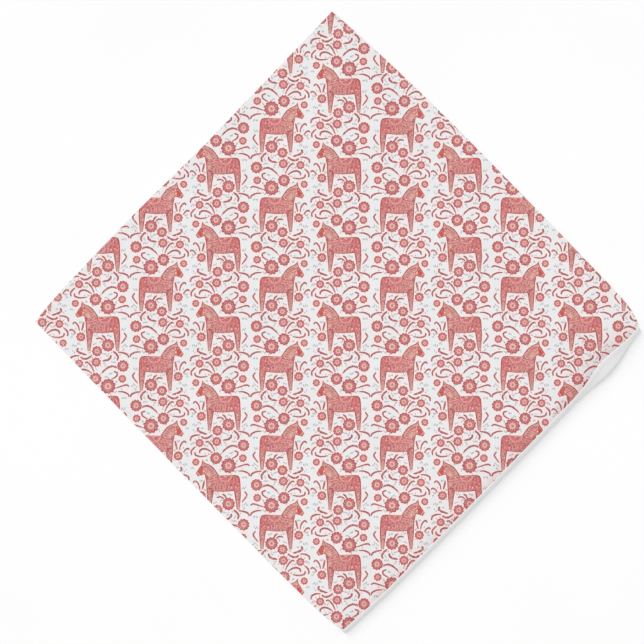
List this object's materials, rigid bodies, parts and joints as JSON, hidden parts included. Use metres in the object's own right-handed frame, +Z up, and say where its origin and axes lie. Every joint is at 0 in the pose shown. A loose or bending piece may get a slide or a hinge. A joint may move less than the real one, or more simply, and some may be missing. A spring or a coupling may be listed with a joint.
{
  "type": "printed bandana",
  "caption": "Square hemmed cloth bandana printed all over with folk horses, flowers and leaves, laid out flat with its lower right side turned up.",
  "frame": {"origin": "centre of the cloth's bounding box, at the surface that the cloth lies on", "axes": "+Z up out of the printed face; +Y towards the top corner, along the longer diagonal; +X towards the right corner"},
  "size_m": [0.7679, 0.7884, 0.0181],
  "materials": {
    "printed_cloth": "plain-woven cloth, printed on its face in reds on a pale ground, white on its back",
    "hem_cloth": "plain-woven white cloth, double-turned and pressed",
    "needle_thread": "fine white spun sewing thread",
    "bobbin_thread": "fine white spun sewing thread"
  },
  "bodies": {
    "root": {"cloth_panel": "printed_cloth", "hem_upper_left": "hem_cloth", "hem_upper_right": "hem_cloth", "hem_lower_left": "hem_cloth", "hem_lower_right": "hem_cloth", "needle_thread_upper_left": "needle_thread", "needle_thread_upper_right": "needle_thread", "needle_thread_lower_left": "needle_thread", "needle_thread_lower_right": "needle_thread", "bobbin_thread_upper_left": "bobbin_thread", "bobbin_thread_upper_right": "bobbin_thread", "bobbin_thread_lower_left": "bobbin_thread", "bobbin_thread_lower_right": "bobbin_thread"}
  },
  "joints": []
}
